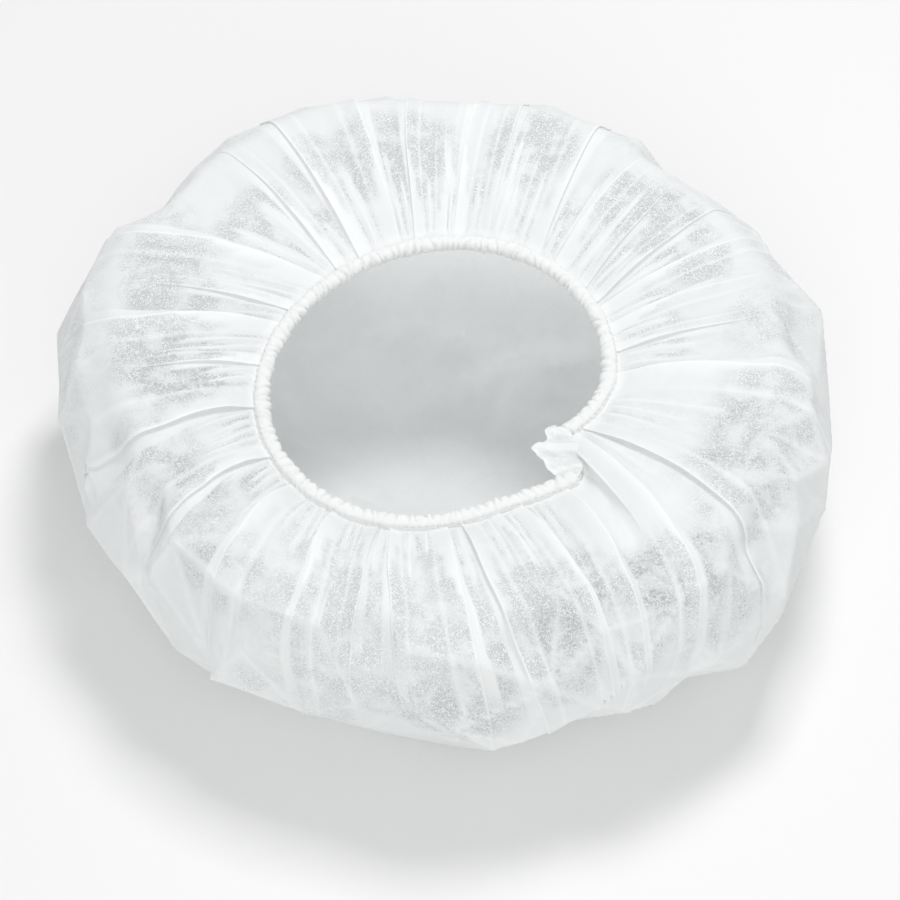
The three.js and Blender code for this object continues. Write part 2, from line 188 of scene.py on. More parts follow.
# Each pleat: its bearing at the hem and at the shoulder, how many degrees it spreads over at
# both, the way where it ends, how high it rises as a share of the height, and how it leans,
# 1 towards larger bearings and -1 towards smaller ones
PLEATS = np.array(
    [(12, 5, 4, 4.5, 0.75, 0.05, -1), (18.5, 14, 4, 5, 0.85, 0.05, 1), (25.5, 22, 4, 5, 1.3, 0.065, 1),
     (31.5, 32, 4, 5, 1.1, 0.06, -1), (38, 40.5, 4, 5, 0.8, 0.055, -1), (47, 49, 5, 6, 1.0, 0.075, 1),
     (58, 62, 6, 7, 1.4, 0.075, -1), (66.5, 70, 4, 4.5, 0.8, 0.05, 1), (75, 76.5, 4, 4.5, 1.3, 0.06, -1),
     (82, 83.5, 4, 5, 1.4, 0.07, 1), (88.5, 90, 4, 4, 0.8, 0.05, -1), (95, 97, 4, 4.5, 1.3, 0.06, 1),
     (105, 108, 6, 6, 1.4, 0.075, -1), (115, 120, 6, 6, 1.3, 0.075, 1), (125, 130.5, 5, 5, 1.0, 0.055, 1),
     (137, 157, 7, 8, 1.3, 0.085, -1), (149, 167, 5, 4.5, 0.7, 0.05, 1), (161, 178, 7, 8, 1.4, 0.085, -1),
     (173, 187, 5, 4.5, 0.8, 0.05, 1), (187, 199, 9, 11, 1.7, 0.09, 1), (207, 216, 6, 7, 1.7, 0.07, 1),
     (225, 232, 7, 7, 2.1, 0.08, -1), (240, 246.5, 6, 5, 2.4, 0.085, -1), (250, 254, 4, 4, 1.6, 0.06, 1),
     (257.5, 261.5, 4, 4.5, 1.5, 0.05, -1), (270.5, 271.5, 6, 6, 2.0, 0.075, 1),
     (281, 281, 6, 6, 2.3, 0.08, -1), (289.5, 288, 4, 3.5, 0.8, 0.05, 1),
     (297.5, 293.5, 5, 4.5, 2.0, 0.075, 1), (312, 300.5, 7, 5.5, 2.3, 0.08, 1),
     (334, 312, 4.5, 6, 2.1, 0.085, 1), (341.5, 327, 5.5, 7.5, 1.9, 0.075, -1),
     (358, 351, 8, 8.5, 1.8, 0.085, 1)],
    dtype=[("hem", float), ("shoulder", float), ("hem_spread", float), ("spread", float), ("end", float),
           ("rise", float), ("lean", float)])

# Shallow hollows in the bulge: width in degrees, depth as a share of the reach
DENTS = np.array(
    [(357, 1.8, 8, 0.05), (41, 1.7, 8, 0.05), (71, 1.8, 7, 0.04), (146, 1.5, 8, 0.065), (190, 2.0, 8, 0.055),
     (221, 2.0, 8, 0.045), (257, 2.2, 8, 0.035), (306, 2.1, 8, 0.04), (336, 1.9, 8, 0.05)],
    dtype=[("bearing", float), ("way", float), ("width", float), ("depth", float)])

# Cut across a pleat that leans towards larger bearings: the top layer climbs to the crease, the
# middle layer runs back under it, and the bottom layer out again. Across is in widths, up in
# heights. The three rows named below are the pleat's foot, its crease and its hidden fold.
FOLD_CUT = np.array(
    [(-0.50, 0.00), (-0.35, 0.13), (-0.10, 0.41), (0.20, 0.75), (0.42, 0.97), (0.50, 1.00), (0.46, 0.90),
     (0.18, 0.57), (-0.16, 0.20), (-0.34, 0.05), (-0.22, 0.03), (0.14, 0.02), (0.50, 0.00)],
    dtype=[("across", float), ("up", float)])
OVER_EDGE = 1
CREST = 5
INNER_FOLD = 9
FOLD_LAYER_MM = 0.7
FOLD_STANDS = 0.22

# The plain panels between the pleats: their columns and short tucks in degrees, the share of a
# tuck where its crest lies, the way where it ends, its height, and how far a wide panel sags
PANEL_STEP = 0.52
TUCK_DEGREES = 3.2
TUCK_CRESTS = (0.3, 0.7)
TUCK_ENDS = (0.3, 0.95)
TUCK_END_AT_JOIN = 0.01
TUCK_STANDS = 1.6
PANEL_SAG_MM = 2.4
WIDE_PANEL = 7

# Where one thin layer lies over the dark hollow, so that its open web shows: bearing, way, half
# width in degrees, half length in ways, and how open it looks. All are widened by one share.
WINDOW_SPREAD = 1.45
WINDOWS = np.array(
    [(162, 0.66, 11, 0.34, 1.0), (137, 0.52, 7, 0.22, 0.8), (153, 0.85, 6, 0.3, 0.5), (183, 0.58, 10, 0.5, 1.0),
     (168, 0.41, 4, 0.1, 0.5), (100, 0.52, 11, 0.4, 1.0), (70, 0.67, 7, 0.34, 1.0), (118, 0.6, 5, 0.25, 0.6),
     (37, 0.64, 11, 0.34, 1.0), (6, 1.02, 5, 0.4, 0.5), (211, 0.96, 11, 0.5, 0.6), (231, 1.16, 9, 0.35, 0.6),
     (258, 1.25, 13, 0.7, 0.95), (272, 1.45, 8, 0.7, 1.0), (287, 1.1, 7, 0.7, 0.9), (296, 0.92, 7, 0.4, 0.8),
     (310, 1.08, 9, 0.45, 0.8), (331, 0.95, 8, 0.45, 0.8), (344, 1.0, 9, 0.45, 0.8), (313, 1.46, 7, 0.4, 0.5),
     (244, 0.47, 7, 0.5, 0.5), (26, 0.67, 7, 0.25, 0.7), (272, 0.55, 5, 0.4, 0.7), (300, 1.39, 5, 0.3, 0.5),
     (92, 1.8, 15, 0.7, 0.4), (57, 1.7, 12, 0.75, 0.35), (125, 1.7, 13, 0.7, 0.4), (22, 1.7, 13, 0.7, 0.4),
     (172, 1.7, 14, 0.7, 0.35), (246, 2.1, 9, 0.4, 0.35)],
    dtype=[("bearing", float), ("way", float), ("half_width", float), ("half_length", float), ("share", float)])

# Where the cloth runs smooth and doubled from the join: bearing, half width in degrees, how
# far down it reaches and how white it is
SMOOTH_AREAS = np.array(
    [(316, 13, 0.95, 0.6), (337, 9, 0.75, 0.5), (354, 8, 0.7, 0.5), (150, 10, 0.6, 0.4), (205, 8, 0.6, 0.3)],
    dtype=[("bearing", float), ("half_width", float), ("to", float), ("share", float)])

# Corners of the flat facets that the crisp cloth breaks into, in rings round the bulge
FACET_RINGS = np.array(
    [(0.9, 36, 0.0, 0.0), (1.25, 26, 0.07, 1.8), (1.6, 23, 0.10, 3.2), (1.95, 20, 0.12, 3.4), (2.35, 18, 0.12, 3.2),
     (2.75, 16, 0.10, 2.6), (3.1, 14, 0.08, 2.4), (3.4, 11, 0.08, 2.6), (3.7, 7, 0.06, 2.0), (4.0, 5, 0.0, 0.0)],
    dtype=[("way", float), ("count", int), ("stray", float), ("lift_mm", float)])

# To join the corners into facets, one way counts as so many degrees. A facet is nearly flat,
# and the crease along its edge shows as a white line.
WAY_IN_DEGREES = 16.0
FLATNESS = 0.92
FACET_EDGE_MM = 2.4
PLEAT_END_DIP_MM = 1.5

# The gathers turn aside on the bulge in slow waves: degrees, waves round the cap, start; and
# the ways between which they do
SWERVES = ((6.0, 3, 40.0), (3.5, 5, 100.0))
SWERVE_WAYS = (0.55, 2.3)


def ease(low, high, value):
    """Rises smoothly from 0 at low to 1 at high."""
    share = np.clip((value - low) / (high - low), 0.0, 1.0)
    return share * share * (3 - 2 * share)


def through(xs, ys, x):
    """A smooth curve through table rows, read at x."""
    slopes = np.gradient(ys, xs)
    i = np.clip(np.searchsorted(xs, x) - 1, 0, len(xs) - 2)
    step = xs[i + 1] - xs[i]
    t = (x - xs[i]) / step
    return ((2 * t ** 3 - 3 * t ** 2 + 1) * ys[i] + (t ** 3 - 2 * t ** 2 + t) * step * slopes[i]
            + (3 * t ** 2 - 2 * t ** 3) * ys[i + 1] + (t ** 3 - t ** 2) * step * slopes[i + 1])


def bulge_reach(bearing):
    """How far out the cap's widest line is at a bearing."""
    count = len(BULGES)
    place = np.mod(bearing, 360.0) / (360.0 / count)
    low = np.floor(place).astype(int)
    t = place - low
    v = np.array(BULGES)
    a, b, c, d = v[(low - 1) % count], v[low % count], v[(low + 1) % count], v[(low + 2) % count]
    return OUTER_RADIUS * 0.5 * (2 * b + (c - a) * t + (2 * a - 5 * b + 4 * c - d) * t ** 2
                                 + (3 * b - a - 3 * c + d) * t ** 3)


def hem_radius(bearing):
    """The hem's middle line: an oval whose two ends miss each other at the front right."""
    around = np.mod(bearing - JOIN_START, 360.0) + JOIN_START
    oval = OPENING_RADIUS * (1 + OPENING_OVAL * np.cos(np.radians(2 * (around - OVAL_BEARING))))
    inner = np.clip(1 - (around - JOIN_START) / JOIN_EASE_ANGLE, 0, None)
    outer = np.clip(1 - (JOIN_END - around) / JOIN_EASE_ANGLE, 0, 1)
    ring = oval - JOIN_INSET * inner ** 1.3 + JOIN_FLARE * outer ** 1.5
    ends = [OPENING_RADIUS * (1 + OPENING_OVAL * math.cos(math.radians(2 * (end - OVAL_BEARING))))
            for end in (JOIN_END, JOIN_START)]
    share = np.clip((around - JOIN_END) / (JOIN_START + 360 - JOIN_END), 0, 1)
    across = (ends[0] + JOIN_FLARE) * (1 - share) + (ends[1] - JOIN_INSET) * share
    return np.where(around <= JOIN_END, ring, across)


def hem_place(bearing):
    """Middle of the hem at a bearing. The opening leans towards the front."""
    bearing = np.asarray(bearing, float)
    radius, angle = hem_radius(bearing), np.radians(bearing)
    back = radius * np.sin(angle)
    height = CAP_HEIGHT * OPENING_RISE + back * math.tan(math.radians(OPENING_TILT))
    return np.stack([OPENING_X + radius * np.cos(angle), OPENING_Y + back, height], -1)


OPENING_UP = np.array([0, -math.sin(math.radians(OPENING_TILT)), math.cos(math.radians(OPENING_TILT))])


def hem_outward(bearing):
    """Direction square to the hem, away from the opening and in its plane."""
    along = hem_place(np.asarray(bearing) + 0.5) - hem_place(np.asarray(bearing) - 0.5)
    out = np.cross(along, OPENING_UP)
    return out / np.linalg.norm(out, axis=-1, keepdims=True)


# The solids were moved so that they stand over the origin, and the looks move with them
ring = hem_place(np.linspace(0, 360, 721))
low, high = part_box("elastic_ring")
MOVED = (np.array(low) + np.array(high)) * 500.0 - (ring.min(0) + ring.max(0)) / 2


def dent_depth(bearing, way):
    """How deep the hollows of the bulge are at a point, as a share of the reach."""
    depth = np.zeros_like(bearing)
    for dent in DENTS:
        across = (np.mod(bearing - dent["bearing"] + 180, 360) - 180) / dent["width"]
        along = (way - dent["way"]) / 0.5
        depth += dent["depth"] * np.exp(-across ** 2 - along ** 2)
    return depth


def bulge_place(bearing, way):
    """A point of the bulge, without pleats, facets and creases."""
    reach = through(PROFILE["way"], PROFILE["reach"], way)
    rise = np.maximum(through(PROFILE["way"], PROFILE["rise"], way), 0)
    angle = np.radians(bearing)
    radius = bulge_reach(bearing) * np.clip(reach - dent_depth(bearing, way) * (np.asarray(way) < 3), 0, None)
    height = CAP_HEIGHT * rise * (1 + BACK_RISE * rise * np.sin(angle))
    return np.stack([radius * np.cos(angle), radius * np.sin(angle), height], -1)


def facet_corners():
    """Bearing, way and place of each facet's corner, strayed and lifted at random."""
    rng = np.random.default_rng(31)
    bearing, way, lift = [], [], []
    for ring_row in FACET_RINGS:
        count = ring_row["count"]
        steps = np.arange(count) + rng.uniform(-0.3, 0.3, count) * (ring_row["stray"] > 0)
        bearing.append(steps * 360 / count)
        way.append(ring_row["way"] + rng.uniform(-1, 1, count) * ring_row["stray"])
        low_lift = 0.0 if ring_row["way"] > 3 else -ring_row["lift_mm"]
        lift.append(rng.uniform(low_lift, ring_row["lift_mm"], count))
    long = PLEATS[PLEATS["end"] > 1.2]
    bearing.append(long["shoulder"] + (long["shoulder"] - long["hem"]) * 0.2)
    way.append(long["end"] * 0.95)
    lift.append(np.full(len(long), -PLEAT_END_DIP_MM))
    bearing, way, lift = np.mod(np.concatenate(bearing), 360), np.concatenate(way), np.concatenate(lift)
    place = bulge_place(bearing, way)
    down = bulge_place(bearing, way + 0.05) - bulge_place(bearing, way - 0.05)
    angle = np.radians(bearing)
    out = np.cross(down, np.stack([-np.sin(angle), np.cos(angle), np.zeros_like(angle)], -1))
    out /= np.maximum(np.linalg.norm(out, axis=-1, keepdims=True), 1e-9)
    out[way > 3] = (0, 0, 1)
    return bearing, way, place + out * lift[:, None]


def facet_places(bearing, ways):
    """Places on the flat facets for a grid of bearings, each facet's tone and its white edges."""
    at, level, place = facet_corners()
    at = np.concatenate([at, at - 360, at + 360])
    level, place = np.tile(level, 3), np.tile(place, (3, 1))
    near = (at > -50) & (at < 410)
    at, level, place = at[near], level[near], place[near]
    flat = [Vector((a, w * WAY_IN_DEGREES)) for a, w in zip(at, level)]
    found = delaunay_2d_cdt(flat, [], [], 0, 1e-6)
    turned = np.mod(bearing, 360)
    result = np.full(bearing.shape + (3,), np.nan)
    tone, edge = np.zeros(bearing.shape), np.zeros(bearing.shape)
    tones = np.random.default_rng(8).uniform(0, 1, (len(found[2]), 2))
    for face, (own_tone, own_edge) in zip(found[2], tones):
        i, j, k = (found[3][v][0] for v in face)
        (ax, bx, cx), (aw, bw, cw) = at[[i, j, k]], level[[i, j, k]]
        area = (bx - ax) * (cw - aw) - (cx - ax) * (bw - aw)
        first, last = np.searchsorted(ways, [min(aw, bw, cw) - 1e-6, max(aw, bw, cw) + 1e-6])
        if abs(area) < 1e-9 or first == last:
            continue
        row, column = np.nonzero((turned[first:last] >= min(ax, bx, cx) - 1e-6)
                                 & (turned[first:last] <= max(ax, bx, cx) + 1e-6))
        row += first
        x, w = turned[row, column], ways[row]
        v = ((x - ax) * (cw - aw) - (cx - ax) * (w - aw)) / area
        u = ((bx - ax) * (w - aw) - (x - ax) * (bw - aw)) / area
        inside = (v > -1e-6) & (u > -1e-6) & (u + v < 1 + 1e-6)
        v, u = v[inside, None], u[inside, None]
        spot = row[inside], column[inside]
        result[spot] = place[i] * (1 - u - v) + place[j] * v + place[k] * u
        tone[spot] = own_tone
        doubled_area = np.linalg.norm(np.cross(place[j] - place[i], place[k] - place[i]))
        height = doubled_area / np.linalg.norm(place[j] - place[k])
        inset = np.minimum(np.minimum(u, v), 1 - u - v)[:, 0] * height
        edge[spot] = own_edge * np.clip(1 - inset / FACET_EDGE_MM, 0, 1)
    return result, tone, edge


def cloth_place(hem_bearing, bearing, way):
    """A point of the smooth cloth: way is 0 at the hem, 1 at the shoulder, 4 in the middle."""
    outside = bulge_place(bearing, max(way, 0.4))
    if way >= 1.3:
        return outside
    out = hem_outward(hem_bearing)
    if way < 0:
        return hem_place(hem_bearing) + out * HEM_LIP * (1 + way)
    lip = hem_place(hem_bearing) + out * HEM_LIP
    inside = lip * (1 - way) + bulge_place(bearing, 1.0) * way
    inside[:, 2] += CAP_HEIGHT * ARCH * math.sin(math.pi * way)
    return inside + (outside - inside) * ease(0.6, 1.3, way)


def swerve(bearing, way):
    """How far the gathers turn aside on the bulge, in degrees, since the cloth was shoved about."""
    turned = sum(degrees * np.sin(np.radians(waves * bearing + start)) for degrees, waves, start in SWERVES)
    return turned * ease(*SWERVE_WAYS, way)


# A column of the sheet. In a pleat: which one, and where it lies in the fold and opened flat.
# In a panel: its bearings, how far in it is, the panel's width and tone, and its tuck.
COLUMN = [("pleat", int), ("across", float), ("share", float), ("up", float), ("place", int), ("hem", float),
          ("shoulder", float), ("panel", float), ("width", float), ("tone", float), ("in_tuck", float),
          ("tuck_crest", float), ("tuck_end", float)]


def cloth_columns():
    """Columns of the sheet in order round the hem: folded ones in pleats, plain ones between."""
    rng = np.random.default_rng(17)
    rows = []
    for k, pleat in enumerate(PLEATS):
        turned = FOLD_CUT if pleat["lean"] > 0 else FOLD_CUT[::-1]
        plain = np.linspace(-0.5, 0.5, len(turned))
        order = range(len(turned)) if pleat["lean"] > 0 else reversed(range(len(turned)))
        for cut, share, place in zip(turned, plain, order):
            rows.append((k, pleat["lean"] * cut["across"], share, cut["up"], place, 0, 0, 0, 0, 0, 0, 0.5, 1))
        after = PLEATS[(k + 1) % len(PLEATS)]
        lap = 360.0 if k + 1 == len(PLEATS) else 0.0
        hem_from, hem_to = pleat["hem"] + pleat["hem_spread"] / 2, after["hem"] + lap - after["hem_spread"] / 2
        start, stop = pleat["shoulder"] + pleat["spread"] / 2, after["shoulder"] + lap - after["spread"] / 2
        count = max(4, round((stop - start + hem_to - hem_from) / 2 / PANEL_STEP))
        at_join = hem_from < JOIN_END < hem_to
        tucks = max(1, round((hem_to - hem_from) / TUCK_DEGREES))
        crests, ends = rng.uniform(*TUCK_CRESTS, tucks), rng.uniform(*TUCK_ENDS, tucks)
        tone = rng.uniform(0, 1)
        for n in range(1, count):
            t = n / count
            tuck = min(int(t * tucks), tucks - 1)
            end = TUCK_END_AT_JOIN if at_join else ends[tuck]
            rows.append((-1, 0, 0, 0, 0, hem_from * (1 - t) + hem_to * t, start * (1 - t) + stop * t,
                         math.sin(math.pi * t), count * PANEL_STEP, tone, t * tucks - tuck, crests[tuck], end))
    return np.array(rows, dtype=COLUMN)


def window_share(bearing, way):
    """How open the web looks at each bearing, on one way."""
    share = np.zeros_like(bearing)
    for spot in WINDOWS:
        across = (np.mod(bearing - spot["bearing"] + 180, 360) - 180) / (WINDOW_SPREAD * spot["half_width"])
        along = (way - spot["way"]) / spot["half_length"]
        share = np.maximum(share, spot["share"] * np.clip(1.5 - 1.3 * (across ** 2 + along ** 2), 0, 1))
    return share


# Folds in the cloth inside, seen through the opening: some run to one pinched point near the
# back, the others lie about. The higher a fold's ridge stands, up to the height below, the
# lighter it is painted: a painted highlight.
HIGHLIGHT_FOLD_MM = 4.0
PINCH = (26.7, 73.0)
PINCH_FOLDS = np.array(
    [(-9, 90, 7, 3.4), (66, 79, 9, 7.0), (53, 50, 5, 2.4), (44, 36, 5, 2.0), (22, 38, 6, 2.6), (0, 48, 5, 2.2),
     (-30, 46, 6, 2.0), (-52, 20, 7, 1.8)],
    dtype=[("x", float), ("y", float), ("width", float), ("height", float)])
OTHER_FOLDS = np.array(
    [(-9, 90, -58, 76, 7, 3.6), (-48, 40, -30, -12, 6, 2.4), (-14, 30, -34, -8, 5, 2.0), (8, 26, 10, -22, 6, 2.4),
     (40, 20, 24, -14, 6, 1.9), (-62, 58, -50, 22, 6, 2.4), (-20, -2, 4, -38, 5, 2.0), (52, 34, 60, -8, 6, 2.0)],
    dtype=[("x", float), ("y", float), ("to_x", float), ("to_y", float), ("width", float), ("height", float)])


def floor_creases():
    """The folds inside, each as both ends, width and height."""
    pinched = [(np.array([*PINCH, 1.0]), np.array([f["x"], f["y"], 1.0]), f["width"], f["height"])
               for f in PINCH_FOLDS]
    return pinched + [(np.array([f["x"], f["y"], 1.0]), np.array([f["to_x"], f["to_y"], 1.0]), f["width"],
                       f["height"]) for f in OTHER_FOLDS]


def crease_lines(seed, count, ways, length, width, height, aim=None):
    """Random straight creases: both ends, width and height. With an aim they run that way."""
    rng = np.random.default_rng(seed)
    bearing = np.radians(rng.uniform(0, 360, count))
    level = rng.uniform(*ways, count)
    reach = through(PROFILE["way"], PROFILE["reach"], level) * OUTER_RADIUS
    rise = np.array([max(through(PROFILE["way"], PROFILE["rise"], w), 0) for w in level]) * CAP_HEIGHT
    centre = np.stack([reach * np.cos(bearing), reach * np.sin(bearing), rise], -1)
    round_way = np.stack([-np.sin(bearing), np.cos(bearing), np.zeros(count)], -1)
    down_way = np.stack([np.cos(bearing), np.sin(bearing), -np.ones(count)], -1) * 0.7
    turned = rng.uniform(0, math.pi, count) if aim is None else rng.normal(aim, 0.35, count)
    along = round_way * np.cos(turned)[:, None] + down_way * np.sin(turned)[:, None]
    half = rng.uniform(*length, count)[:, None] / 2
    return list(zip(centre - along * half, centre + along * half, rng.uniform(*width, count),
                    rng.uniform(*height, count) * rng.choice([-1, 1], count)))


def crease_lift(points, lines):
    """How far each point is raised by tent-shaped creases, fading out past their ends."""
    lift = np.zeros(points.shape[:-1])
    for start, stop, width, height in lines:
        run = stop - start
        share = np.clip(((points - start) @ run) / (run @ run), 0, 1)
        off = np.linalg.norm(points - start - share[..., None] * run, axis=-1)
        taper = 0.35 + 0.65 * np.sin(np.pi * share)
        lift += height * taper * np.clip(1 - off / width, 0, None)
    return lift


# Rows of the sheet, from inside the hem to the middle of the patch that it rests on
WAYS = np.concatenate([[-0.45, -0.2], np.linspace(0, 0.3, 13), np.linspace(0.3, 1.3, 33)[1:],
                       np.linspace(1.3, 2.4, 26)[1:], np.linspace(2.4, 3.4, 18)[1:], [3.5, 3.6, 3.72, 3.85, 3.95]])


def crown_points():
    """The sheet as a grid of points, and at each how open its web is and how white it looks."""
    columns = cloth_columns()
    folded = columns["pleat"] >= 0
    which = np.where(folded, columns["pleat"], 0)
    pleat, leaned = PLEATS[which], PLEATS[which]["lean"]
    tightness = np.random.default_rng(5).uniform(0.5, 1.0, len(PLEATS))[which]
    inner = FOLD_CUT["across"][INNER_FOLD]
    inner_share = INNER_FOLD / (len(FOLD_CUT) - 1) - 0.5
    base, lift, bearings, thin, doubled_and_highlight = [], [], [], [], []
    for way in WAYS:
        closed = np.clip(1 - way / (1.3 * pleat["end"]), 0, 1) ** 0.85
        across = columns["share"] + (columns["across"] - columns["share"]) * closed
        hem = np.where(folded, pleat["hem"] + across * pleat["hem_spread"], columns["hem"])
        spread = pleat["hem_spread"] + (pleat["spread"] - pleat["hem_spread"]) * ease(0, 1, way)
        side = np.clip(way, 0, 1)
        shoulder = np.where(folded, pleat["shoulder"] + across * spread, columns["shoulder"])
        turned = swerve(shoulder, way)
        bearing = hem * (1 - side) + shoulder * side + turned
        base.append(cloth_place(hem, bearing if way > 1 else shoulder + turned, way))
        bearings.append(bearing)

        # Pleats stand up from the hem and sink back into the bulge, and so do the short tucks
        puff = ease(-0.05, 0.3, way) * (1 - ease(0.25 * pleat["end"], 1.2 * pleat["end"], way))
        height = CAP_HEIGHT * pleat["rise"] * FOLD_STANDS * puff + FOLD_LAYER_MM * closed
        live = np.clip(1 - way / columns["tuck_end"], 0, 1)
        off = abs(columns["in_tuck"] - columns["tuck_crest"]) / np.maximum(0.62 * live ** 0.8, 0.01)
        tent = np.where(folded, 0, np.clip(1 - off, 0, 1)) * (live > 0)
        sag = -PANEL_SAG_MM * ease(0.1, 0.4, way) * (1 - ease(0.7, 1.2, way))
        sag = sag * np.clip(columns["width"] / WIDE_PANEL, 0, 1)
        plain = TUCK_STANDS * tent * np.sqrt(live) * ease(0, 0.06, way) + sag * columns["panel"]
        lift.append(np.where(folded, columns["up"] * height, plain))

        # Doubled cloth looks white, in a band that starts over the fold below and tapers to the
        # crease. So do the crease, the pleat's foot, the tucks and the cloth next to the join.
        under = inner * closed + inner_share * (1 - closed)
        starts = under + 0.95 * (0.44 - under) * ease(0.05, 0.7, way / pleat["end"])
        over = np.where(columns["place"] > CREST, ease(0.3, 0.6, closed),
                        ease(0, 0.1, across * leaned - starts))
        band = np.where(folded, 0.9 * tightness * over * ease(0.16, 0.4, closed), 0)
        crest = np.where(folded & (columns["place"] == CREST), np.clip(2.2 * closed - 0.2, 0, 1), 0)
        foot = np.where(folded & (columns["place"] == OVER_EDGE), np.clip(1.5 * closed - 0.2, 0, 0.7), 0)
        tucked = (0.45 * ease(0.0, 0.25, tent) + 0.45 * ease(0.7, 1.0, tent)) * ease(0, 0.3, live)
        smooth = sum(area["share"] * np.exp(-((bearing - area["bearing"]) / area["half_width"]) ** 4)
                     * (1 - ease(area["to"] - 0.25, area["to"], way)) for area in SMOOTH_AREAS)
        gathered = 0.4 * (1 - ease(0.0, 0.07, way))
        tone = 0.25 * columns["tone"] * (1 - ease(0.9, 1.3, way))
        white = np.maximum(np.maximum(band, smooth), np.where(folded, 0, tucked)) + gathered + tone
        doubled_and_highlight.append(np.clip(np.maximum(white, np.maximum(crest, foot)), 0, 1))

        # The web shows open in the windows and in the wedges beside the hem, under one layer
        layers = np.maximum(np.maximum(band * 1.6, crest), np.maximum(smooth * 1.5, tucked * 1.8))
        wedge = np.where(folded, 0.3, 0.75) * (1 - ease(0.25, 0.55, way))
        open_web = np.maximum(window_share(bearing, way), wedge)
        thin.append(open_web * np.clip(1 - layers, 0, 1) * (1 - gathered * 2))
    base, lift, thin, doubled_and_highlight = np.array(base), np.array(lift), np.array(thin), np.array(doubled_and_highlight)

    # The smooth bulge breaks into flat facets, and the pleats and creases stand up from them
    flat, tone, edge = facet_places(np.array(bearings), WAYS)
    share = (FLATNESS * ease(0.95, 1.3, WAYS))[:, None, None]
    base = np.where(np.isnan(flat) | (share == 0), base, base * (1 - share) + flat * share)
    faceted = share[..., 0] * (1 - ease(2.1, 2.8, WAYS))[:, None]
    doubled_and_highlight = np.clip(doubled_and_highlight + (0.35 * tone + 0.8 * edge) * faceted, 0, 1)
    down = np.gradient(base, axis=0)
    angle = np.arctan2(base[..., 1], base[..., 0])
    round_way = np.stack([-np.sin(angle), np.cos(angle), np.zeros_like(angle)], -1)
    out = np.cross(down, round_way)
    out /= np.linalg.norm(out, axis=-1, keepdims=True)
    points = base + out * lift[..., None]
    lines = (crease_lines(11, 30, ways=(1.2, 2.7), length=(30, 60), width=(6, 12), height=(0.6, 1.5))
             + crease_lines(12, 90, ways=(1.0, 3.0), length=(15, 40), width=(3, 6), height=(0.25, 0.6))
             + crease_lines(13, 90, ways=(0.45, 1.3), length=(25, 60), width=(3, 7), height=(0.25, 0.7), aim=1.5)
             + floor_creases())
    fade = ease(0.05, 0.4, WAYS)[:, None]
    points = points + out * (crease_lift(points, lines) * fade)[..., None]
    points[..., 2] = np.maximum(points[..., 2], 0.0)
    # The ridges of the folds inside get a painted highlight, lighter the higher they stand.
    inside = np.clip(crease_lift(points, floor_creases()) / HIGHLIGHT_FOLD_MM, 0, 1) * ease(2.5, 3.0, WAYS)[:, None]
    return points, thin * (1 - edge), np.maximum(doubled_and_highlight, 0.9 * inside)


def grid_faces(rows, count):
    """Quads over a grid of points whose rows close into rings."""
    faces = []
    for i in range(rows - 1):
        for j in range(count):
            k = (j + 1) % count
            faces.append((i * count + j, (i + 1) * count + j, (i + 1) * count + k, i * count + k))
    return faces


# Spunbond polypropylene, 20 g/m2: fine white fibres strewn at random and pressed together. Over
# white it looks smooth, and over a dark hollow it shows as specks and bright strands. The real
# fibres are 0.02 mm thick. They are drawn as strands about 0.4 mm wide, the finest that shows.
# The whitest colour, for cloth laid double and for painted highlight.
FIBRE_DOUBLED_AND_HIGHLIGHT = "#FCFDFD"
FIBRE_SMOOTH = "#F9FAFA"
FIBRE_CLOUD = "#F2F4F4"
FIBRE_STRAND = "#FBFCFC"
# The cloth between the strands of the open web is painted grey: painted shade of the hollow behind it.
FIBRE_WEB_PAINTED_SHADE = "#D3D6D6"
DOUBLED_COVER = 0.97
STRAND_MM = 1.9
GAP_PITCH_MM = 1.5
GAP_CLEAR = 0.95
BEND_MM = 2.0
BEND_PULL_M = 0.0006
RAGGED_MM = 9.0
PINHOLES = 0.035
CLOUD_MM = 16.0
CREASE_MM = 24.0
CREASE_DEPTH_M = 0.0022
SHARP_DEGREES = 32


def strewn_gaps(tree, where, thin):
    """Share of open gap at a point: small round holes, more and larger ones where it is thin."""
    bend = add_node(tree, "ShaderNodeTexNoise", {"Scale": 1000.0 / BEND_MM, "Detail": 0.0}, {"Vector": where})
    pull = add_node(tree, "ShaderNodeVectorMath", {"operation": "MULTIPLY_ADD", 1: (BEND_PULL_M,) * 3},
                    {0: bend.outputs["Color"], 2: where})
    hole = add_node(tree, "ShaderNodeTexVoronoi", {"Scale": 1000.0 / GAP_PITCH_MM}, {"Vector": pull.outputs[0]})
    chance = add_node(tree, "ShaderNodeSeparateColor", {}, {"Color": hole.outputs["Color"]})
    excess = add_node(tree, "ShaderNodeMath", {"operation": "MULTIPLY_ADD", 1: -1.0},
                      {0: chance.outputs[0], 2: thin})
    size = add_node(tree, "ShaderNodeMapRange", {"From Max": 0.8, "To Min": 0.02, "To Max": 0.5},
                    {"Value": excess.outputs[0]})
    ratio = add_node(tree, "ShaderNodeMath", {"operation": "DIVIDE"},
                     {0: hole.outputs["Distance"], 1: size.outputs[0]})
    return add_node(tree, "ShaderNodeMapRange",
                    {"interpolation_type": "SMOOTHSTEP", "From Min": 0.7, "From Max": 1.1, "To Min": 1.0,
                     "To Max": 0.0}, {"Value": ratio.outputs[0]})


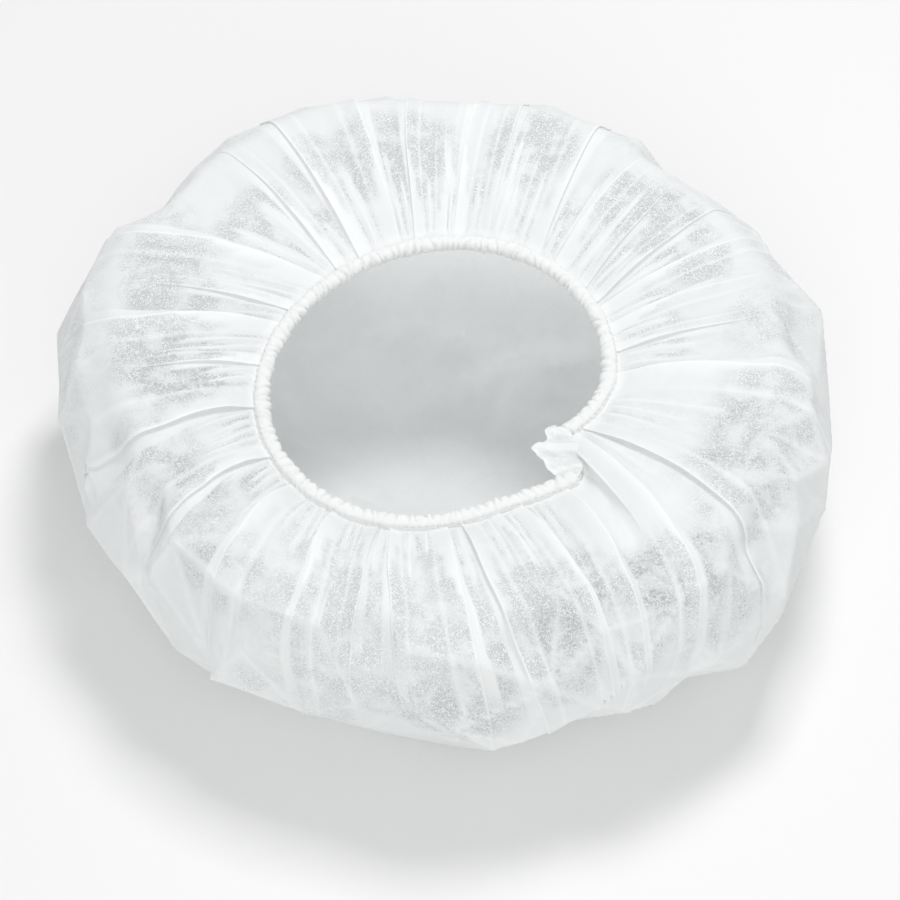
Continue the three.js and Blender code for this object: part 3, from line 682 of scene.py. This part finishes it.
def strewn_strands(tree, where):
    """Share of thick strand at a point, from two tangled sets of ridges."""
    strands = None
    for scale in (1.0, 0.77):
        noise = add_node(tree, "ShaderNodeTexNoise",
                         {"Scale": 1000.0 / (STRAND_MM * scale), "Detail": 1.0, "Roughness": 0.6},
                         {"Vector": where})
        centred = add_node(tree, "ShaderNodeMath", {"operation": "SUBTRACT", 1: 0.5}, {0: noise.outputs["Fac"]})
        away = add_node(tree, "ShaderNodeMath", {"operation": "ABSOLUTE"}, {0: centred.outputs[0]})
        if strands is None:
            strands = away
        else:
            strands = add_node(tree, "ShaderNodeMath", {"operation": "MINIMUM"},
                               {0: strands.outputs[0], 1: away.outputs[0]})
    return add_node(tree, "ShaderNodeMapRange",
                    {"interpolation_type": "SMOOTHSTEP", "From Max": 0.034, "To Min": 1.0, "To Max": 0.0},
                    {"Value": strands.outputs[0]})


def blend_colour(tree, share, one, other):
    """Mixes two colours, each given as a hex value or as another node's output."""
    given = {socket: colour for socket, colour in ((6, one), (7, other)) if not isinstance(colour, str)}
    fixed = {socket: linear(colour) for socket, colour in ((6, one), (7, other)) if isinstance(colour, str)}
    mix = add_node(tree, "ShaderNodeMix", {"data_type": "RGBA", **fixed}, {0: share, **given})
    return mix.outputs[2]


def spunbond(name, smooth_cover, thin_cover, strand_cover, glow):
    """White nonwoven cloth that lets light through, and specks of the hollow where it is thin.

    The covers are how solid it looks where it is smooth, between the strands of the open web
    and on them. Glow is the share of its light that comes through from the other side.
    """
    material, tree = blank_material(name)
    place = add_node(tree, "ShaderNodeTexCoord", {}, {})
    where = place.outputs["Object"]
    ragged = add_node(tree, "ShaderNodeTexNoise", {"Scale": 1000.0 / RAGGED_MM, "Detail": 3.0}, {"Vector": where})
    uneven = add_node(tree, "ShaderNodeMapRange",
                      {"From Min": 0.36, "From Max": 0.58, "To Min": 0.2, "To Max": 1.3},
                      {"Value": ragged.outputs["Fac"]})
    stored = add_node(tree, "ShaderNodeAttribute", {"attribute_name": "thin"}, {})
    everywhere = add_node(tree, "ShaderNodeMath", {"operation": "ADD", 1: PINHOLES}, {0: stored.outputs["Fac"]})
    thin = add_node(tree, "ShaderNodeMath", {"operation": "MULTIPLY", "use_clamp": True},
                    {0: everywhere.outputs[0], 1: uneven.outputs[0]}).outputs[0]
    doubled_and_highlight = add_node(tree, "ShaderNodeAttribute", {"attribute_name": "doubled_and_highlight"}, {}).outputs["Fac"]
    gaps = strewn_gaps(tree, where, thin)
    strands = strewn_strands(tree, where)
    clouds = add_node(tree, "ShaderNodeTexNoise", {"Scale": 1000.0 / CLOUD_MM, "Detail": 2.0}, {"Vector": where})
    crumple = add_node(tree, "ShaderNodeTexNoise", {"Scale": 1000.0 / CREASE_MM, "Detail": 1.0}, {"Vector": where})
    centred = add_node(tree, "ShaderNodeMath", {"operation": "SUBTRACT", 1: 0.5}, {0: crumple.outputs["Fac"]})
    crease = add_node(tree, "ShaderNodeMath", {"operation": "ABSOLUTE"}, {0: centred.outputs[0]})

    cover = add_node(tree, "ShaderNodeMapRange", {"To Min": thin_cover, "To Max": strand_cover},
                     {"Value": strands.outputs[0]})
    left = add_node(tree, "ShaderNodeMath", {"operation": "MULTIPLY_ADD", 1: -GAP_CLEAR, 2: 1.0},
                    {0: gaps.outputs[0]})
    holed = add_node(tree, "ShaderNodeMath", {"operation": "MULTIPLY"}, {0: cover.outputs[0], 1: left.outputs[0]})
    single = add_node(tree, "ShaderNodeMix", {"data_type": "FLOAT", 2: smooth_cover},
                      {0: thin, 3: holed.outputs[0]})
    solid = add_node(tree, "ShaderNodeMix", {"data_type": "FLOAT", 3: DOUBLED_COVER},
                     {0: doubled_and_highlight, 2: single.outputs[0]})

    # Where the web is open, the cloth between the strands is painted grey as shade of the hollow.
    web = blend_colour(tree, strands.outputs[0], FIBRE_WEB_PAINTED_SHADE, FIBRE_STRAND)
    even = blend_colour(tree, clouds.outputs["Fac"], FIBRE_CLOUD, FIBRE_SMOOTH)
    # Cloth laid double and the painted highlights take the whitest colour.
    colour = blend_colour(tree, doubled_and_highlight, blend_colour(tree, thin, even, web), FIBRE_DOUBLED_AND_HIGHLIGHT)
    bump = add_node(tree, "ShaderNodeBump", {"Strength": 0.8, "Distance": CREASE_DEPTH_M},
                    {"Height": crease.outputs[0]})
    cloth = add_node(tree, "ShaderNodeBsdfPrincipled",
                     {"Roughness": 0.82, "IOR": 1.49, "Specular IOR Level": 0.25},
                     {"Base Color": colour, "Normal": bump.outputs[0]})
    through_light = add_node(tree, "ShaderNodeBsdfTranslucent", {}, {"Color": colour})
    lit = add_node(tree, "ShaderNodeMixShader", {0: glow}, {1: cloth.outputs[0], 2: through_light.outputs[0]})
    gap = add_node(tree, "ShaderNodeBsdfTransparent", {}, {})
    seen = add_node(tree, "ShaderNodeMixShader", {}, {0: solid.outputs[0], 1: gap.outputs[0], 2: lit.outputs[0]})
    add_node(tree, "ShaderNodeOutputMaterial", {}, {"Surface": seen.outputs[0]})
    return material


def layer_up(piece, thin, doubled_and_highlight):
    """Stores at each point how open the web looks, and how white it is from double layers and painted highlight."""
    for name, values in (("thin", thin), ("doubled_and_highlight", doubled_and_highlight)):
        store = piece.data.attributes.new(name, "FLOAT", "POINT")
        store.data.foreach_set("value", np.broadcast_to(values, len(piece.data.vertices)).astype(np.float32))


single_layer = spunbond("spunbond_polypropylene", smooth_cover=0.87, thin_cover=0.52, strand_cover=0.88, glow=0.38)
sheet, thin, doubled_and_highlight = crown_points()
rows, count = sheet.shape[:2]

# The last ring closes on one point, in the middle of the patch that the cap rests on
points = (sheet + MOVED).reshape(-1, 3)
points = np.vstack([points, [[MOVED[0], MOVED[1], points[:, 2].min()]]])
faces = grid_faces(rows, count)
faces += [((rows - 1) * count + j, len(points) - 1, (rows - 1) * count + (j + 1) % count) for j in range(count)]
crown = mesh_object("crown_cloth", points, faces, single_layer)
crown.data.set_sharp_from_angle(angle=math.radians(SHARP_DEGREES))
layer_up(crown, np.append(thin.ravel(), 0.0), np.append(doubled_and_highlight.ravel(), 0.0))
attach(crown, "root")
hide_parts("crown")


# ---- Hem ----
# The cut edge of the disc, folded over the elastic and sewn down. The elastic draws it up into
# a soft white roll with a row of little puffs along its inner edge.
HEM_ACROSS = 5.5
HEM_THICK = 4.8
HEM_LENGTH = math.radians(JOIN_END - JOIN_START) * OPENING_RADIUS
HEM_SECTIONS = 1100
HEM_SIDES = 30
LOBES = 150
LOBE_MM = (1.6, 4.4)
LOBE_STANDS = (0.6, 2.1)
CRUMPLE_MM = 0.13
STITCH_PITCH = 2.2
STITCH_TURN = 0.42
GROOVE_TURN = 0.22
GROOVE_DEEP = 0.45

hem_cloth = spunbond("spunbond_gathered_hem", smooth_cover=0.99, thin_cover=0.95, strand_cover=1.0, glow=0.3)


def hem_roll():
    """A soft tube that swells into uneven lobes on its inner side, with a stitched groove."""
    rng = np.random.default_rng(21)
    share = np.linspace(0, 1, HEM_SECTIONS + 1)
    run = (share * HEM_LENGTH)[:, None]
    bearing = JOIN_START + (JOIN_END - JOIN_START) * share
    centre, out = hem_place(bearing), hem_outward(bearing)
    turn = np.linspace(0, 2 * np.pi, HEM_SIDES, endpoint=False)

    # The lobes lie a little askew, each with its own length, height and lean
    skewed = run + 0.9 * np.sin(run * 0.31) * np.sin(turn - 2.0) + 0.5 * np.sin(run * 0.83) * np.cos(turn)
    edges = np.concatenate([[-4.0], np.cumsum(rng.uniform(*LOBE_MM, LOBES))])
    lobe = np.searchsorted(edges, skewed) - 1
    within = (skewed - edges[lobe]) / (edges[lobe + 1] - edges[lobe])
    leans = rng.uniform(0.66, 1.0, len(edges))[lobe] * np.pi
    inner = 0.06 + 0.94 * (0.5 + 0.5 * np.cos(turn - leans)) ** 2.0
    stands = rng.uniform(*LOBE_STANDS, len(edges))[lobe]
    lobes = stands * (np.clip(np.sin(np.pi * within), 0, 1) ** 0.5 - 0.6) * inner
    crumple = CRUMPLE_MM * np.sin(run * 2.3 + 3 * np.sin(turn * 2)) * np.sin(turn * 3 + run * 0.7)
    groove = GROOVE_DEEP * np.exp(-((turn - STITCH_TURN) / GROOVE_TURN) ** 2)
    groove = groove * (1 + 0.5 * np.sin(run * 2 * np.pi / STITCH_PITCH))
    slow = 1 + 0.05 * np.sin(share * 71 + 1) + 0.04 * np.sin(share * 173)
    ends = np.sqrt(np.clip(1 - np.clip(1 - np.minimum(share, 1 - share) * 130, 0, 1) ** 2, 0.02, 1))
    wide = (HEM_ACROSS / 2 * slow[:, None] + lobes + crumple - groove) * ends[:, None]
    thick = (HEM_THICK / 2 * slow[:, None] + lobes + crumple - groove) * ends[:, None]
    return (centre[:, None] + out[:, None] * (wide * np.cos(turn))[..., None]
            + OPENING_UP * (thick * np.sin(turn))[..., None])


roll = hem_roll()
rows, count = roll.shape[:2]
faces = [tuple(reversed(face)) for face in grid_faces(rows, count)]
faces += [tuple(range(count)), tuple(reversed(range((rows - 1) * count, rows * count)))]
hem = mesh_object("hem_roll", (roll + MOVED).reshape(-1, 3), faces, hem_cloth)
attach(hem, "root")
layer_up(hem, 0.0, 1.0)
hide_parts("hem_casing")


# ---- Hem stitching ----
# A line of short white polyester stitches on the outer side of the roll holds the folded edge
# down, and the cloth puckers into it.
STITCH_LONG = 1.5
STITCH_THICK = 0.4
STITCH_CUTS = (-1, -0.7, 0, 0.7, 1)
STITCH_SIDES = 6
STITCH_MARGIN = 1.5
STITCH_SUNK = 0.2
THREAD_DARK = "#E9E9E8"
THREAD_LIGHT = "#F8F8F7"

thread, tree = blank_material("spun_polyester_thread")
place = add_node(tree, "ShaderNodeTexCoord", {}, {})
ply = add_node(tree, "ShaderNodeTexNoise", {"Scale": 2500.0, "Detail": 2.0}, {"Vector": place.outputs["Object"]})
fuzz = add_node(tree, "ShaderNodeBump", {"Strength": 0.4, "Distance": 0.0001}, {"Height": ply.outputs["Fac"]})
shade = blend_colour(tree, ply.outputs["Fac"], THREAD_DARK, THREAD_LIGHT)
strand = add_node(tree, "ShaderNodeBsdfPrincipled", {"Roughness": 0.6, "IOR": 1.57},
                  {"Base Color": shade, "Normal": fuzz.outputs[0]})
add_node(tree, "ShaderNodeOutputMaterial", {}, {"Surface": strand.outputs[0]})


def stitches():
    """Short spindles along the groove, each bent a little into the roll at its ends."""
    points, faces = [], []
    for bearing in np.linspace(JOIN_START + STITCH_MARGIN, JOIN_END - STITCH_MARGIN,
                               round(HEM_LENGTH / STITCH_PITCH)):
        pair = hem_place(np.array([bearing - 0.4, bearing + 0.4]))
        along = (pair[1] - pair[0]) / np.linalg.norm(pair[1] - pair[0])
        out = np.cross(along, OPENING_UP)
        centre = (pair.mean(0) + out * (HEM_ACROSS / 2 - STITCH_SUNK) * math.cos(STITCH_TURN)
                  + OPENING_UP * (HEM_THICK / 2 - STITCH_SUNK) * math.sin(STITCH_TURN))
        start = len(points)
        for t in STITCH_CUTS:
            thick = STITCH_THICK / 2 * math.sqrt(max(1 - t * t, 0.05))
            for k in range(STITCH_SIDES):
                turn = k * math.pi / (STITCH_SIDES / 2)
                points.append(centre + along * t * STITCH_LONG / 2 + out * thick * math.cos(turn)
                              + OPENING_UP * (thick * math.sin(turn) - 0.25 * t * t))
        for cut in range(start, len(points) - STITCH_SIDES, STITCH_SIDES):
            for k in range(STITCH_SIDES):
                a, b = cut + k, cut + (k + 1) % STITCH_SIDES
                faces.append((a, a + STITCH_SIDES, b + STITCH_SIDES, b))
        faces.append(tuple(range(start, start + STITCH_SIDES)))
        faces.append(tuple(reversed(range(len(points) - STITCH_SIDES, len(points)))))
    return np.array(points), faces


points, faces = stitches()
seam = mesh_object("hem_stitching", points + MOVED, faces, thread)
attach(seam, "root")


# ---- Join tab ----
# The raw corner of the hem's cloth sticks out crumpled past the join, over the bare elastic.
# It is one doubled layer, pinched between the two ends of the roll.
TAB_ROOT = np.array([(45.0, -22.5), (48.2, -27.0), (50.2, -33.0), (50.6, -38.0), (49.4, -41.0)])
TAB_EDGE = np.array([(41.5, -22.0), (37.4, -23.9), (38.6, -26.8), (35.6, -28.6), (32.6, -31.6), (34.8, -33.6),
                     (36.9, -34.8), (37.9, -37.8), (39.9, -40.7), (43.6, -41.8), (47.0, -42.4)])

# Ridges and valleys that run from the root to the edge: height in millimetres, the share along
# the corner where they start, how far they drift towards the edge, and their half width
TAB_RIDGES = ((1.6, 0.12, -0.05, 0.10), (-1.0, 0.24, 0.0, 0.06), (1.9, 0.38, 0.0, 0.11),
              (-1.0, 0.55, 0.0, 0.08), (1.2, 0.72, 0.06, 0.10))
# Ridges higher than this, in millimetres, get a painted highlight.
TAB_HIGHLIGHT_RIDGE_MM = 0.8
TAB_LAYERS = ((2.4, 1.0), (1.3, 0.94))
TAB_ACROSS = 45
TAB_ALONG = 22
TAB_THIN = 0.15

tab_cloth = spunbond("spunbond_raw_corner", smooth_cover=0.86, thin_cover=0.7, strand_cover=0.9, glow=0.35)


def along_line(line, shares):
    """Points at even shares of a row of corners."""
    steps = np.linspace(0, 1, len(line))
    return np.stack([np.interp(shares, steps, line[:, i]) for i in (0, 1)], -1)


def tab_points(rise, reach):
    """One layer of the crumpled corner as a grid of points, and how white each looks."""
    s = np.linspace(0, 1, TAB_ACROSS)
    root, edge = along_line(TAB_ROOT, s), along_line(TAB_EDGE, s)
    rows, white = [], []
    for t in np.linspace(0, reach, TAB_ALONG):
        flat = root * (1 - t) + edge * t
        ridge = sum(height * np.clip(1 - abs(s - start - drift * t) / half, 0, 1)
                    for height, start, drift, half in TAB_RIDGES)
        crumple = 0.4 * np.sin(17 * s + 5 * t) * np.cos(9 * t - 4 * s) + 0.22 * np.sin(41 * s + 13 * t)
        up = rise + (ridge + crumple) * (0.35 + 0.65 * t) - 1.5 * t * ease(0.5, 0.9, s) + 0.5 * t * t * (s < 0.5)
        place = np.column_stack([OPENING_X + flat[:, 0], OPENING_Y + flat[:, 1], np.zeros(len(s))])
        place[:, 2] = CAP_HEIGHT * OPENING_RISE + flat[:, 1] * math.tan(math.radians(OPENING_TILT))
        rows.append(place + OPENING_UP * up[:, None])
        # The corner's edges look whiter, and the ridges that stand high get a painted highlight.
        rim = np.maximum(ease(0.86, 0.97, t / reach), np.maximum(ease(0.93, 0.98, s), 1 - ease(0.02, 0.07, s)))
        white.append(np.clip(0.35 + rim + 0.4 * (ridge > TAB_HIGHLIGHT_RIDGE_MM), 0, 1))
    return np.array(rows), np.array(white)


points, faces, whites = [], [], []
for rise, reach in TAB_LAYERS:
    patch, white = tab_points(rise, reach)
    whites.append(white.ravel())
    corners = [len(points) + i * TAB_ACROSS + j for i in range(TAB_ALONG - 1) for j in range(TAB_ACROSS - 1)]
    faces += [(a, a + TAB_ACROSS, a + TAB_ACROSS + 1, a + 1) for a in corners]
    points += patch.reshape(-1, 3).tolist()
tab = mesh_object("raw_corner", np.array(points) + MOVED, faces, tab_cloth)
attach(tab, "root")
layer_up(tab, TAB_THIN, np.concatenate(whites))
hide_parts("seam_tab")


# ---- Elastic ----
# A round cord of white latex rubber, knit-covered, closed in the hem and bare for a few
# millimetres at the join, where it shows under the raw corner.
RUBBER_DARK = "#DCD8CC"
RUBBER_LIGHT = "#EFECE2"

rubber, tree = blank_material("covered_latex_cord")
place = add_node(tree, "ShaderNodeTexCoord", {}, {})
rib = add_node(tree, "ShaderNodeTexNoise", {"Scale": 1400.0, "Detail": 2.0}, {"Vector": place.outputs["Object"]})
ribs = add_node(tree, "ShaderNodeBump", {"Strength": 0.5, "Distance": 0.0002}, {"Height": rib.outputs["Fac"]})
warm = blend_colour(tree, rib.outputs["Fac"], RUBBER_DARK, RUBBER_LIGHT)
cord = add_node(tree, "ShaderNodeBsdfPrincipled", {"Roughness": 0.65, "IOR": 1.52},
                {"Base Color": warm, "Normal": ribs.outputs[0]})
add_node(tree, "ShaderNodeOutputMaterial", {}, {"Surface": cord.outputs[0]})
for slot in bpy.data.objects["elastic_ring"].material_slots:
    slot.material = rubber
